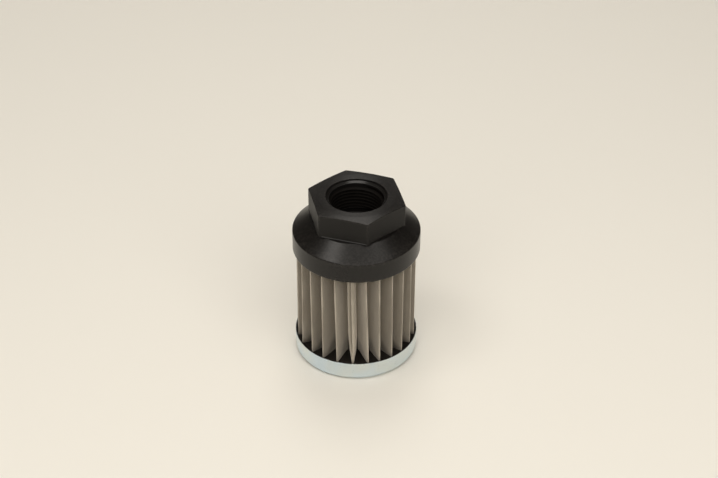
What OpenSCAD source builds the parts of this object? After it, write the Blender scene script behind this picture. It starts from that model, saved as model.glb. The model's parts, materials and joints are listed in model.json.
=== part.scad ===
// Hydraulic suction strainer: a black hexagon-headed cap with a female pipe thread, a ring of
// pleated wire cloth round a perforated core, and a pressed steel cup, all potted together.
// Millimetres, +Z up, origin at the centre of the cup's underside.

/* [Cap] */
// Outer diameter of the cap's skirt
cap_d = 61.6; // [58:0.1:66]
// Wall thickness of the skirt
skirt_wall = 1.4; // [1.2:0.1:2.4]
// Height of the skirt's straight side
skirt_h = 10.1; // [9:0.1:14]
// Rounding of the skirt's lower edge
skirt_edge_r = 0.5; // [0.2:0.1:0.6]
// Slope of the shoulder, in degrees from level
shoulder_angle = 36.5; // [25:0.5:50]
// Diameter of the shoulder's top edge, where it meets the level ledge round the hexagon
ledge_d = 45; // [42:0.5:47]
// Rounding between the skirt and the shoulder
shoulder_edge_r = 0.8; // [0.4:0.1:2]
// Thickness of the cap between its channel and the shoulder's lower edge
roof_t = 2.8; // [2:0.1:4]

/* [Hexagon] */
// Hexagon across flats
hex_af = 42; // [38:0.5:46]
// Height of the hexagon above the ledge
hex_h = 12.5; // [9:0.5:16]
// Rounding of the hexagon's upright corners
hex_corner_r = 0.6; // [0.3:0.1:2]
// Diameter of the flat ring on top of the hexagon
hex_face_d = 37; // [33:0.5:40]
// Slope of the turned top outside the flat ring, in degrees from level
hex_slope = 9; // [5:1:30]

/* [Port] */
// Diameter at the root of the female pipe thread
thread_root_d = 26.44; // [25:0.02:27]
// Diameter of the counterbore at the port's mouth
mouth_d = 29.2; // [28:0.1:31]
// Depth of the counterbore
mouth_depth = 1; // [0.4:0.1:2]
// Slope of the lead-in from the counterbore to the thread, in degrees from level
lead_in_slope = 30; // [20:1:45]
// Diameter of the flow passage under the thread
flow_d = 23; // [20:0.5:24]
// Thickness of the lip that stops a pipe at the end of the thread
lip_t = 3.5; // [2:0.1:5]

/* [Filter pack] */
// Number of pleats
pleat_count = 25; // [18:1:30]
// Angle from a corner of the hexagon to the first pleat's outer fold, in degrees
pleat_turn = 8; // [0:0.5:14]
// Thickness of the wire cloth
cloth_t = 0.4; // [0.3:0.05:0.6]
// Radius of each fold, at the middle of the cloth
fold_r = 0.7; // [0.5:0.05:0.9]
// Height of the wire cloth that shows between the cup and the cap
open_h = 49.5; // [30:0.1:120]
// Room between the pleats' tips and the skirt
tip_clearance = 0.2; // [0.1:0.05:0.5]
// Room between the pleats' inner folds and the core tube
fold_clearance = 0.1; // [0.05:0.05:0.4]

/* [Core tube] */
// Outer diameter of the core tube
core_d = 36.4; // [34:0.2:39]
// Wall thickness of the core tube
core_wall = 0.8; // [0.6:0.1:1.2]
// Diameter of each hole in the core tube
hole_d = 5; // [3:0.5:6]
// Number of holes in one row
holes_per_row = 12; // [8:1:14]
// Height from one row of holes to the next
row_pitch = 7; // [6.5:0.5:12]
// Least height of plain tube between the end holes and the potting
hole_margin = 2.5; // [1:0.5:6]
// Room between the core tube and the cap's spigot
spigot_clearance = 0.1; // [0.05:0.05:0.3]
// Wall thickness of the spigot
spigot_wall = 2; // [1.4:0.1:2.6]
// Length of the spigot below the channel's roof
spigot_h = 5.5; // [3:0.5:7]

/* [Cup] */
// Height of the cup
cup_h = 9.7; // [7:0.1:14]
// Thickness of the cup's sheet steel
sheet_t = 0.6; // [0.5:0.1:1.2]
// Outer radius of the cup's lower corner
cup_corner_r = 2; // [1.4:0.1:3]
// Room between the pleats' tips and the cup's wall
cup_clearance = 0.4; // [0.2:0.05:2]

/* [Potting] */
// Depth of the lower potting's surface below the cup's rim
potting_drop = 0.6; // [0.2:0.1:1.5]
// Height of the upper potting's surface above the skirt's lower edge
potting_rise = 1; // [0.4:0.1:2]
// Thickness of potting past the ends of the wire cloth and under the core tube
potting_bed = 0.8; // [0.4:0.1:1.2]

/* [Hidden] */

// Flat steps in each rounded edge and fold
arc_steps = 6;
// Facets of a full circle
round_fn = 96;
// Length by which a cutting shape runs past the face that it opens
overcut = 1;

// Heights above the cup's underside
skirt_z = cup_h + open_h;
shoulder_z = skirt_z + skirt_h;
roof_z = shoulder_z - roof_t;
spigot_z = roof_z - spigot_h;
lip_z = roof_z + lip_t;
lower_potting_z = cup_h - potting_drop;
upper_potting_z = skirt_z + potting_rise;
pack_bottom_z = sheet_t + potting_bed;
cloth_top_z = roof_z - potting_bed;

// Radii
cap_r = cap_d / 2;
skirt_in_r = cap_r - skirt_wall;
tip_r = skirt_in_r - tip_clearance;
core_r = core_d / 2;
core_in_r = core_r - core_wall;
spigot_r = core_in_r - spigot_clearance;
spigot_in_r = spigot_r - spigot_wall;
cup_r = tip_r + cup_clearance + sheet_t;

// Hexagon: its corners reach past the ledge and run down to the shoulder
hex_sharp_r = hex_af / 2 / cos(30);
ledge_r = ledge_d / 2;
hex_face_r = hex_face_d / 2;
ledge_z = shoulder_z + (cap_r - ledge_r) * tan(shoulder_angle);
top_z = ledge_z + hex_h;

// Points of an arc from one angle to another
function arc(centre, r, from, to, steps = arc_steps) =
    [for (k = [0:steps]) let (a = from + (to - from) * k / steps) centre + r * [cos(a), sin(a)]];

// Corner of a hexagon whose rounding is centred at angle a
function hex_corner(a) =
    arc((hex_sharp_r - hex_corner_r / cos(30)) * [cos(a), sin(a)], hex_corner_r, a - 30, a + 30);

// One pleat: the outer fold is centred on angle 0, the inner fold half a pitch on.
// The cloth between them is the line that touches both folds and crosses from side to side.
half_pitch = 180 / pleat_count;
outer_fold = [tip_r - fold_r - cloth_t / 2, 0];
inner_fold = (core_r + fold_clearance + fold_r + cloth_t / 2) * [cos(half_pitch), sin(half_pitch)];
fold_span = norm(inner_fold - outer_fold);
fold_way = (inner_fold - outer_fold) / fold_span;
wall_sine = 2 * fold_r / fold_span;
wall_normal = wall_sine * fold_way + sqrt(1 - wall_sine ^ 2) * [fold_way.y, -fold_way.x];
fold_turn = atan2(wall_normal.y, wall_normal.x);

// Outline of one pleat on the face that lies "side" outside the middle of the cloth
function pleat_face(side) = concat(
    arc(outer_fold, fold_r + side, -fold_turn, fold_turn),
    arc(inner_fold, fold_r - side, 180 + fold_turn, 180 - fold_turn + 2 * half_pitch));

function turned(p, a) = [p.x * cos(a) - p.y * sin(a), p.x * sin(a) + p.y * cos(a)];

// Closed outline of all the pleats on one face of the cloth
function pleat_ring(side) =
    [for (i = [0:pleat_count - 1]) for (p = pleat_face(side)) turned(p, pleat_turn + 2 * half_pitch * i)];

// The folded strip of wire cloth from one height to another
module cloth(from_z, to_z) {
    translate([0, 0, from_z]) linear_extrude(to_z - from_z) difference() {
        polygon(pleat_ring(cloth_t / 2));
        polygon(pleat_ring(-cloth_t / 2));
    }
}

// Plain round tube from one height to another
module tube(outer_r, inner_r, from_z, to_z) {
    translate([0, 0, from_z]) difference() {
        cylinder(h = to_z - from_z, r = outer_r, $fn = round_fn);
        translate([0, 0, -overcut]) cylinder(h = to_z - from_z + 2 * overcut, r = inner_r, $fn = round_fn);
    }
}

// Half section of a flat-bottomed cup's outline, moved inwards by inset and filled up to a height
module cup_section(inset, height) {
    r = cup_r - inset;
    corner_r = cup_corner_r - inset;
    floor_edge = [r - corner_r, inset + corner_r];
    polygon(concat([[0, inset]], arc(floor_edge, corner_r, -90, 0), [[r, height], [0, height]]));
}

// Cap without its hexagon and its port: skirt, shoulder, roof and spigot in one half section
module cap_section() {
    skirt_edge = [cap_r - skirt_edge_r, skirt_z + skirt_edge_r];
    edge_turn = 90 - shoulder_angle;
    setback = shoulder_edge_r * tan(edge_turn / 2);
    shoulder_edge = [cap_r - shoulder_edge_r, shoulder_z - setback];
    polygon(concat(
        [[0, roof_z], [spigot_in_r, roof_z], [spigot_in_r, spigot_z], [spigot_r, spigot_z],
         [spigot_r, roof_z], [skirt_in_r, roof_z], [skirt_in_r, skirt_z]],
        arc(skirt_edge, skirt_edge_r, -90, 0),
        arc(shoulder_edge, shoulder_edge_r, 0, edge_turn),
        [[ledge_r, ledge_z], [0, ledge_z]]));
}

// Hexagon with rounded corners, its top turned to a shallow cone round a flat ring
module hexagon() {
    rim_drop = (hex_sharp_r - hex_face_r) * tan(hex_slope);
    foot = max(hex_sharp_r - ledge_r, 0) * tan(shoulder_angle) + overcut;
    intersection() {
        translate([0, 0, ledge_z - foot]) linear_extrude(hex_h + foot)
            polygon([for (i = [0:5]) for (p = hex_corner(60 * i)) p]);
        rotate_extrude($fn = round_fn) polygon([
            [0, ledge_z - foot - overcut], [hex_sharp_r, ledge_z - foot - overcut],
            [hex_sharp_r, top_z - rim_drop], [hex_face_r, top_z], [0, top_z]]);
    }
}

// Space inside the port: counterbore, lead-in, threaded length and flow passage
module port() {
    mouth_r = mouth_d / 2;
    thread_r = thread_root_d / 2;
    flow_r = flow_d / 2;
    lead_in_z = top_z - mouth_depth;
    lead_in_h = (mouth_r - thread_r) * tan(lead_in_slope);
    rotate_extrude($fn = round_fn) polygon([
        [0, roof_z - overcut], [flow_r, roof_z - overcut], [flow_r, lip_z], [thread_r, lip_z],
        [thread_r, lead_in_z - lead_in_h], [mouth_r, lead_in_z],
        [mouth_r, top_z + overcut], [0, top_z + overcut]]);
}

module top_cap() {
    color([0.10, 0.10, 0.10]) difference() {
        union() {
            rotate_extrude($fn = round_fn) cap_section();
            hexagon();
        }
        port();
    }
}

module pleated_mesh() {
    color([0.52, 0.49, 0.45]) cloth(pack_bottom_z, cloth_top_z);
}

// Perforated tube: rows of holes, every other row turned by half a pitch
module core_tube() {
    low_z = lower_potting_z + hole_margin + hole_d / 2;
    high_z = min(upper_potting_z, spigot_z) - hole_margin - hole_d / 2;
    rows = floor((high_z - low_z) / row_pitch);
    first_z = (low_z + high_z - rows * row_pitch) / 2;
    color([0.70, 0.72, 0.74]) difference() {
        tube(core_r, core_in_r, pack_bottom_z, roof_z);
        for (row = [0:rows], i = [0:holes_per_row - 1])
            rotate((i + row % 2 / 2) * 360 / holes_per_row)
                translate([core_in_r - overcut, 0, first_z + row * row_pitch]) rotate([0, 90, 0])
                    cylinder(h = core_wall + 2 * overcut, d = hole_d, $fn = round_fn);
    }
}

module bottom_cap() {
    color([0.76, 0.80, 0.82]) difference() {
        rotate_extrude($fn = round_fn) cup_section(0, cup_h);
        rotate_extrude($fn = round_fn) cup_section(sheet_t, cup_h + overcut);
    }
}

// Disc of compound that fills the cup, cast round the cloth and the core tube
module bottom_potting() {
    color([0.05, 0.05, 0.05]) difference() {
        rotate_extrude($fn = round_fn) cup_section(sheet_t, lower_potting_z);
        cloth(pack_bottom_z, cup_h);
        tube(core_r, core_in_r, pack_bottom_z, cup_h);
    }
}

// Ring of compound that fills the cap's channel outside the core tube, cast round the cloth
module top_potting() {
    color([0.05, 0.05, 0.05]) difference() {
        tube(skirt_in_r, core_r, upper_potting_z, roof_z);
        cloth(skirt_z, cloth_top_z);
    }
}

top_cap();
pleated_mesh();
core_tube();
bottom_cap();
bottom_potting();
top_potting();
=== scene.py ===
"""Looks of a hydraulic suction strainer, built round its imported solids.

The black cap with its thread, the pleated wire cloth, the zinc cup and the potting are modelled finer
than the solids that they stand for. Sizes of the pieces are millimetres. Meshes, the studio and the
heights of a finish's relief are in metres.
"""

from __future__ import annotations

import json
import logging
import math
import random
from dataclasses import dataclass, field
from enum import Enum

import bmesh
import bpy
import numpy as np
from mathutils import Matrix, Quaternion, Vector

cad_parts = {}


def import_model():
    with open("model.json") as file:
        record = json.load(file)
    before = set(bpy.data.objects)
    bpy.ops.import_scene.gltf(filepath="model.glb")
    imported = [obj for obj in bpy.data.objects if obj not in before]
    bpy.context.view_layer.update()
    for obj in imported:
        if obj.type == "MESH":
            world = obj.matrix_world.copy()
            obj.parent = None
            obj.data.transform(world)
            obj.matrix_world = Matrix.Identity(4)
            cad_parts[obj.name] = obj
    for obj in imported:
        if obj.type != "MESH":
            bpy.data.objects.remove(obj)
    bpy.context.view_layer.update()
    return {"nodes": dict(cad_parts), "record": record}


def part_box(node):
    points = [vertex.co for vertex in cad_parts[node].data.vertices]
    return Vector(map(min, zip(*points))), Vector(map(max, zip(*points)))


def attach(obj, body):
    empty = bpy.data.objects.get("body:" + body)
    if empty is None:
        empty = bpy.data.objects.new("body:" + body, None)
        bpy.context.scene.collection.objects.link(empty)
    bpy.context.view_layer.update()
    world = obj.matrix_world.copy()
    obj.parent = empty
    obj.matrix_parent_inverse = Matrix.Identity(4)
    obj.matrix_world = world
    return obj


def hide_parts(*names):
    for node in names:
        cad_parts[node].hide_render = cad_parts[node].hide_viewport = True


LOG = logging.getLogger("strainer")
MM = 0.001
# Point layer for rubbing, which also carries the painted highlights on pleat crests and hexagon corners.
WEAR_AND_HIGHLIGHT_LAYER = "wear"
CLOTH_UV = "cloth_mm"
FULL_TURN = 2.0 * math.pi
TURNED_STEPS = 192
MERGE_DISTANCE = 1e-6
SLIVER_LENGTH = 1e-7
SHARP_ANGLE = 32.0
HEX_SIDES = 6
HEX_STEP = 60.0
HEX_HALF = 30.0
NOISE_SPAN = (0.3, 0.7)
MIX_COLOUR_INPUTS = (0, 6, 7)
MIX_COLOUR_OUTPUT = 2

Span = tuple[float, float]
Triple = tuple[float, float, float]
Colour = Triple
Profile = list[Span]
WornProfile = list[Triple]
Array = np.ndarray
Piece = bpy.types.Object
Material = bpy.types.Material
Tree = bpy.types.NodeTree
Node = bpy.types.Node
Socket = bpy.types.NodeSocket


class Slot(Enum):
    """Material slots of the record."""

    CAP = "black_polymer"
    CLOTH = "wire_cloth"
    CORE = "core_steel"
    CUP = "zinc_plate"
    POTTING = "black_potting"


def arc(centre: Span, radius: float, start: float, stop: float, steps: int = 5) -> Profile:
    """Points of an arc.

    Args:
        centre: Middle of the arc.
        radius: Radius of the arc.
        start: First angle, in degrees.
        stop: Last angle, in degrees.
        steps: Number of straight steps.

    Returns:
        The points from the first angle to the last.
    """
    angles = np.radians(np.linspace(start, stop, steps + 1))
    return [(centre[0] + radius * math.cos(a), centre[1] + radius * math.sin(a)) for a in angles]


def smooth_step(low: float, high: float, value: Array) -> Array:
    """Eased ramp from 0 at low to 1 at high."""
    t = np.clip((value - low) / (high - low), 0.0, 1.0)
    return t * t * (3.0 - 2.0 * t)


def full_turn(steps: int) -> Array:
    """Even angles round the axis, in radians."""
    return np.linspace(0.0, FULL_TURN, steps, endpoint=False)


def round_points(radius: Array, height: object, turn: Array) -> Array:
    """Points about the Z axis.

    Args:
        radius: Radii as columns by rows, or one row for all columns.
        height: Heights in the same form, or one number.
        turn: Angle of each column, in radians.

    Returns:
        Columns by rows by 3.
    """
    angle = turn[:, None]
    x, y = radius * np.cos(angle), radius * np.sin(angle)
    return np.stack([x, y, np.broadcast_to(height, x.shape)], axis=-1)


def direction(azimuth: float, elevation: float) -> Vector:
    """Unit vector from the strainer towards an azimuth and an elevation in degrees."""
    turn, rise = math.radians(azimuth), math.radians(elevation)
    return Vector((math.sin(turn) * math.cos(rise), -math.cos(turn) * math.cos(rise), math.sin(rise)))


def new_object(name: str, data: bpy.types.ID) -> Piece:
    """Adds an object to the scene.

    Args:
        name: Name of the object.
        data: Its mesh, lamp or camera.

    Returns:
        The object.
    """
    made = bpy.data.objects.new(name, data)
    bpy.context.scene.collection.objects.link(made)
    return made


def make_piece(name: str, points: Array, faces: list, wear: Array | None = None) -> Piece:
    """Makes a closed mesh with merged points, outward faces and sharp edges.

    Args:
        name: Name of the piece.
        points: Points in millimetres, in a grid of any shape.
        faces: Numbers of each face's points.
        wear: Optional value of each point for rubbing, which also paints highlights on pleat crests and
            hexagon corners.

    Returns:
        The new object.
    """
    mesh = bpy.data.meshes.new(name)
    mesh.from_pydata((points.reshape(-1, 3) * MM).tolist(), [], faces)
    if wear is not None:
        layer = mesh.attributes.new(WEAR_AND_HIGHLIGHT_LAYER, "FLOAT", "POINT")
        layer.data.foreach_set("value", wear.reshape(-1).astype(np.float32))
    work = bmesh.new()
    work.from_mesh(mesh)
    bmesh.ops.remove_doubles(work, verts=work.verts, dist=MERGE_DISTANCE)
    bmesh.ops.dissolve_degenerate(work, edges=work.edges, dist=SLIVER_LENGTH)
    bmesh.ops.recalc_face_normals(work, faces=work.faces)
    work.to_mesh(mesh)
    work.free()
    mesh.shade_smooth()
    mesh.set_sharp_from_angle(angle=math.radians(SHARP_ANGLE))
    piece = new_object(name, mesh)
    even = piece.modifiers.new("even_shading", "WEIGHTED_NORMAL")
    even.keep_sharp = True
    return piece


def grid_piece(name: str, points: Array, wear: Array | None = None) -> Piece:
    """Makes a piece from a grid of points whose last column and last row join the first.

    Args:
        name: Name of the piece.
        points: Array of columns by rows by 3, in millimetres.
        wear: Optional value of each point for rubbing, which also paints highlights on pleat crests and
            hexagon corners.

    Returns:
        The new object.
    """
    here = np.arange(points[..., 0].size).reshape(points.shape[:2])
    beside = np.roll(here, -1, axis=0)
    corners = [here, beside, np.roll(beside, -1, axis=1), np.roll(here, -1, axis=1)]
    return make_piece(name, points, np.stack(corners, axis=-1).reshape(-1, 4).tolist(), wear)


def turned_piece(name: str, profile: Profile) -> Piece:
    """Turns a closed section of radii and heights about the Z axis."""
    section = np.array(profile)
    return grid_piece(name, round_points(section[:, 0], section[:, 1], full_turn(TURNED_STEPS)))


def dress(piece: Piece, material: Material) -> None:
    """Gives a piece its one material."""
    piece.data.materials.clear()
    piece.data.materials.append(material)


def place(piece: Piece, slot: Slot, material: Material, *nodes: str) -> None:
    """Dresses a piece, lets it ride on the part and says which solids it stands for.

    Args:
        piece: The piece.
        slot: Slot of the record that gives its finish; not used.
        material: Material to wear.
        nodes: Names of the solids that it stands for.
    """
    dress(piece, material)
    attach(piece, "root")
    if nodes:
        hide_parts(*nodes)
    LOG.info("%s: %d faces, stands for %s", piece.name, len(piece.data.polygons), nodes or "itself")


class NodeSheet:
    """A shader node tree that is filled step by step."""

    def __init__(self, tree: Tree) -> None:
        """Keeps the tree to fill."""
        self.tree = tree

    def feed(self, socket: Socket, value: object) -> None:
        """Links a socket to another, or sets its plain value.

        Args:
            socket: Input to feed.
            value: Socket, number, vector or colour. A colour gets full alpha.
        """
        if isinstance(value, Socket):
            self.tree.links.new(value, socket)
        elif socket.type == "RGBA":
            socket.default_value = (*value, 1.0)
        else:
            socket.default_value = value

    def fill(self, node: Node, **inputs: object) -> Node:
        """Feeds a node's inputs.

        Args:
            node: The node.
            inputs: Input names, with spaces written as underscores, and their values or sockets.

        Returns:
            The same node.
        """
        for name, value in inputs.items():
            self.feed(node.inputs[name.replace("_", " ")], value)
        return node

    def add(self, kind: str, **inputs: object) -> Node:
        """Adds a node of Blender's type name and feeds its inputs."""
        return self.fill(self.tree.nodes.new(kind), **inputs)

    def group(self, tree: Tree, **inputs: object) -> bpy.types.bpy_prop_collection:
        """Places a node group.

        Args:
            tree: The group.
            inputs: Its inputs, as for any node.

        Returns:
            The group's outputs.
        """
        node = self.tree.nodes.new("ShaderNodeGroup")
        node.node_tree = tree
        return self.fill(node, **inputs).outputs

    def maths(self, operation: str, first: object, second: object = 0.0) -> Socket:
        """Result of a math node.

        Args:
            operation: Name of the operation.
            first: First value or socket.
            second: Second value or socket.

        Returns:
            The node's output.
        """
        node = self.tree.nodes.new("ShaderNodeMath")
        node.operation = operation
        self.feed(node.inputs[0], first)
        self.feed(node.inputs[1], second)
        return node.outputs[0]

    def times(self, first: object, second: object) -> Socket:
        """Product of two values."""
        return self.maths("MULTIPLY", first, second)

    def ramp(
        self, value: object, low: float, high: float, to_low: float = 0.0, to_high: float = 1.0
    ) -> Socket:
        """Eased map of a value to a new range.

        Args:
            value: Value or socket.
            low: Value that maps to to_low.
            high: Value that maps to to_high.
            to_low: Result at low.
            to_high: Result at high.

        Returns:
            The mapped value.
        """
        node = self.tree.nodes.new("ShaderNodeMapRange")
        node.interpolation_type = "SMOOTHSTEP"
        self.fill(node, Value=value, From_Min=low, From_Max=high, To_Min=to_low, To_Max=to_high)
        return node.outputs["Result"]

    def mix(self, factor: object, first: object, second: object) -> Socket:
        """Colour between two colours.

        Args:
            factor: Share of the second colour.
            first: First colour or socket.
            second: Second colour or socket.

        Returns:
            The mixed colour.
        """
        node = self.tree.nodes.new("ShaderNodeMix")
        node.data_type = "RGBA"
        for index, value in zip(MIX_COLOUR_INPUTS, (factor, first, second)):
            self.feed(node.inputs[index], value)
        return node.outputs[MIX_COLOUR_OUTPUT]

    def bump(self, height: Socket, strength: float, distance: float) -> Socket:
        """Normal that follows a height."""
        return self.add("ShaderNodeBump", Strength=strength, Distance=distance, Height=height).outputs[0]

    def spot(self) -> Socket:
        """Place on the object, in metres."""
        return self.tree.nodes.new("ShaderNodeTexCoord").outputs["Object"]

    def part(self, vector: Socket, axis: str) -> Socket:
        """One axis of a vector."""
        return self.add("ShaderNodeSeparateXYZ", Vector=vector).outputs[axis]

    def rise(self) -> Socket:
        """How far a face looks up, from -1 to 1."""
        return self.part(self.tree.nodes.new("ShaderNodeNewGeometry").outputs["Normal"], "Z")

    def radius(self) -> Socket:
        """Distance from the strainer's axis.

        Returns:
            The distance, in metres.
        """
        flat = self.tree.nodes.new("ShaderNodeVectorMath")
        flat.operation = "MULTIPLY"
        self.feed(flat.inputs[0], self.spot())
        self.feed(flat.inputs[1], (1.0, 1.0, 0.0))
        length = self.tree.nodes.new("ShaderNodeVectorMath")
        length.operation = "LENGTH"
        self.feed(length.inputs[0], flat.outputs["Vector"])
        return length.outputs["Value"]

    def across(self, radius: Socket, edge: float, soft: float, inside: float, outside: float) -> Socket:
        """Value that changes from inside to outside over the soft edge of a circle round the axis."""
        return self.ramp(radius, (edge - soft) * MM, (edge + soft) * MM, inside, outside)

    def noise(self, scale: object, detail: float = 3.0, stretch: Triple = (1.0, 1.0, 1.0)) -> Socket:
        """Noise over the object.

        Args:
            scale: Cells per metre, as a value or socket.
            detail: Octaves of the noise.
            stretch: Factor on each axis.

        Returns:
            The noise value.
        """
        mapping = self.add("ShaderNodeMapping", Vector=self.spot(), Scale=stretch)
        node = self.add("ShaderNodeTexNoise", Vector=mapping.outputs[0], Scale=scale, Detail=detail)
        return node.outputs["Fac"]


def new_group(
    name: str, inputs: dict[str, float], outputs: tuple[str, ...]
) -> tuple[NodeSheet, dict[str, Socket], Node]:
    """Starts a node group with number sockets.

    Args:
        name: Name of the group.
        inputs: Names of the inputs and their usual values.
        outputs: Names of the outputs.

    Returns:
        The sheet to fill, the input sockets by name, and the output node.
    """
    tree = bpy.data.node_groups.new(name, "ShaderNodeTree")
    for label, value in inputs.items():
        socket = tree.interface.new_socket(label, in_out="INPUT", socket_type="NodeSocketFloat")
        socket.default_value = value
    for label in outputs:
        tree.interface.new_socket(label, in_out="OUTPUT", socket_type="NodeSocketFloat")
    source = tree.nodes.new("NodeGroupInput")
    target = tree.nodes.new("NodeGroupOutput")
    return NodeSheet(tree), {label: source.outputs[label] for label in inputs}, target


class Effects:
    """Node groups that several finishes share. A span is the range of a value over which a mask sets in."""

    wear_and_highlight_span: Span = (0.38, 0.68)
    upward_span: Span = (0.2, 0.95)
    speck_span: Span = (0.64, 0.74)
    film_span: Span = (0.35, 0.75)
    film_share: Span = (0.1, 0.5)
    film_scale: float = 120.0

    def __init__(self) -> None:
        """Builds each group once."""
        self.grain = self._grain()
        self.edge_wear = self._edge_wear_and_highlight()
        self.dust = self._dust()

    @staticmethod
    def _grain() -> Tree:
        """Fine and broad unevenness of a moulded, pressed or cast surface.

        Returns:
            The group.
        """
        usual = {"Fine Scale": 2500.0, "Broad Scale": 90.0}
        sheet, given, target = new_group("surface_grain", usual, ("Fine", "Broad"))
        fine = sheet.noise(given["Fine Scale"], detail=4.0)
        broad = sheet.noise(given["Broad Scale"], detail=3.0)
        sheet.fill(target, Fine=fine, Broad=broad)
        return sheet.tree

    def _edge_wear_and_highlight(self) -> Tree:
        """Patchy rubbing where the mesh marks an edge, which on pleat crests and hexagon corners is also a
        painted highlight.

        Returns:
            The group.
        """
        sheet, given, target = new_group("edge_wear", {"Amount": 0.5, "Scale": 700.0}, ("Mask",))
        marked = sheet.tree.nodes.new("ShaderNodeAttribute")
        marked.attribute_name = WEAR_AND_HIGHLIGHT_LAYER
        patchy = sheet.ramp(sheet.noise(given["Scale"], detail=5.0), *self.wear_and_highlight_span)
        rubbed_and_highlight = sheet.times(marked.outputs["Fac"], patchy)
        sheet.fill(target, Mask=sheet.times(rubbed_and_highlight, given["Amount"]))
        return sheet.tree

    def _dust(self) -> Tree:
        """Specks and a faint film that settle on faces that look up.

        Returns:
            The group.
        """
        usual = {"Amount": 0.1, "Speck Scale": 1600.0}
        sheet, given, target = new_group("settled_dust", usual, ("Mask",))
        upward = sheet.ramp(sheet.rise(), *self.upward_span)
        specks = sheet.ramp(sheet.noise(given["Speck Scale"], detail=2.0), *self.speck_span)
        film = sheet.ramp(sheet.noise(self.film_scale, detail=4.0), *self.film_span, *self.film_share)
        settled = sheet.times(upward, sheet.maths("MAXIMUM", specks, film))
        sheet.fill(target, Mask=sheet.times(settled, given["Amount"]))
        return sheet.tree


@dataclass(frozen=True)
class Finish:
    """Base of the finishes, each of them one Principled shader."""

    name: str

    def material(self, effects: Effects) -> Material:
        """Builds the material.

        Args:
            effects: Shared node groups.

        Returns:
            The material.
        """
        material = bpy.data.materials.new(self.name)
        material.use_nodes = True
        sheet = NodeSheet(material.node_tree)
        self.shade(sheet, sheet.tree.nodes["Principled BSDF"], effects)
        return material

    def shade(self, sheet: NodeSheet, shader: Node, effects: Effects) -> None:
        """Feeds the shader's inputs, in each finish's own way.

        Args:
            sheet: Sheet of the material's nodes.
            shader: The Principled shader.
            effects: Shared node groups.
        """
        raise NotImplementedError


@dataclass(frozen=True)
class BlackPolymer(Finish):
    """Satin black moulding, with a fine grain, rubbing at edges that at the hexagon's corners is also a
    painted highlight, and a trace of dust.
    """

    name: str = Slot.CAP.value
    deep: Colour = (0.0042, 0.0034, 0.0028)
    pale: Colour = (0.0062, 0.0051, 0.0042)
    # Colour of rubbing, which at the hexagon's corners is a painted highlight.
    rubbed_and_highlight: Colour = (0.040, 0.036, 0.032)
    dusty: Colour = (0.10, 0.09, 0.08)
    fine_scale: float = 3200.0
    broad_scale: float = 140.0
    wear_and_highlight_amount: float = 0.55
    wear_and_highlight_scale: float = 900.0
    dust_amount: float = 0.05
    speck_scale: float = 1900.0
    dust_roughness: float = 0.5
    roughness: Span = (0.27, 0.30)
    specular: float = 0.33
    bore_r: float = 13.4
    bore_edge: float = 0.1
    bore_roughness: float = 0.5
    mouth_r: float = 14.65
    mouth_edge: float = 0.15
    mouth_polish: float = 0.68
    hexagon_r: float = 24.8
    hexagon_edge: float = 0.2
    flat_facing: Span = (0.05, 0.4)
    flat_roughness: float = 0.52
    top_facing: Span = (0.93, 0.97)
    turned_roughness: float = 0.34
    turned_lines: float = 0.85
    turned_rotation: float = 0.25
    grain_strength: float = 0.14
    grain_height: float = 0.00002

    def _roughness(
        self, sheet: NodeSheet, radius: Socket, satin: Socket, turned: Socket, flats: Socket
    ) -> Socket:
        """Roughness of the moulding, smoother at the mouth and duller in the bore and on the hexagon.

        Args:
            sheet: Sheet of the material's nodes.
            radius: Distance from the axis.
            satin: Roughness of the plain surface.
            turned: Mask of the hexagon's turned top.
            flats: Mask of the hexagon's flats.

        Returns:
            The roughness.
        """
        mouth = sheet.across(radius, self.mouth_r, self.mouth_edge, self.mouth_polish, 1.0)
        rough = sheet.times(satin, mouth)
        areas = (
            sheet.times(turned, self.turned_roughness),
            sheet.times(flats, self.flat_roughness),
            sheet.across(radius, self.bore_r, self.bore_edge, self.bore_roughness, 0.0),
        )
        for area in areas:
            rough = sheet.maths("MAXIMUM", rough, area)
        return rough

    def shade(self, sheet: NodeSheet, shader: Node, effects: Effects) -> None:
        """Feeds the shader's inputs.

        Args:
            sheet: Sheet of the material's nodes.
            shader: The Principled shader.
            effects: Shared node groups.
        """
        grain = sheet.group(effects.grain, Fine_Scale=self.fine_scale, Broad_Scale=self.broad_scale)
        # Rubbing mask, which also carries the painted highlight at the hexagon's corners.
        worn_and_highlit = sheet.group(effects.edge_wear, Amount=self.wear_and_highlight_amount, Scale=self.wear_and_highlight_scale)["Mask"]
        dust = sheet.group(effects.dust, Amount=self.dust_amount, Speck_Scale=self.speck_scale)["Mask"]
        colour = sheet.mix(worn_and_highlit, sheet.mix(grain["Broad"], self.deep, self.pale), self.rubbed_and_highlight)
        satin = sheet.ramp(grain["Broad"], *NOISE_SPAN, *self.roughness)
        satin = sheet.maths("ADD", satin, sheet.times(dust, self.dust_roughness))
        radius, rise = sheet.radius(), sheet.rise()
        on_hexagon = sheet.across(radius, self.hexagon_r, self.hexagon_edge, 1.0, 0.0)
        turned = sheet.times(sheet.ramp(rise, *self.top_facing), on_hexagon)
        upright = sheet.ramp(sheet.maths("ABSOLUTE", rise), *self.flat_facing, 1.0, 0.0)
        flats = sheet.times(upright, on_hexagon)
        rings = sheet.tree.nodes.new("ShaderNodeTangent")
        rings.direction_type = "RADIAL"
        rings.axis = "Z"
        sheet.fill(
            shader,
            Base_Color=sheet.mix(dust, colour, self.dusty),
            Roughness=self._roughness(sheet, radius, satin, turned, flats),
            Anisotropic=sheet.times(turned, self.turned_lines),
            Anisotropic_Rotation=self.turned_rotation,
            Tangent=rings.outputs[0],
            Specular_IOR_Level=self.specular,
            Normal=sheet.bump(grain["Fine"], self.grain_strength, self.grain_height),
        )


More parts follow.
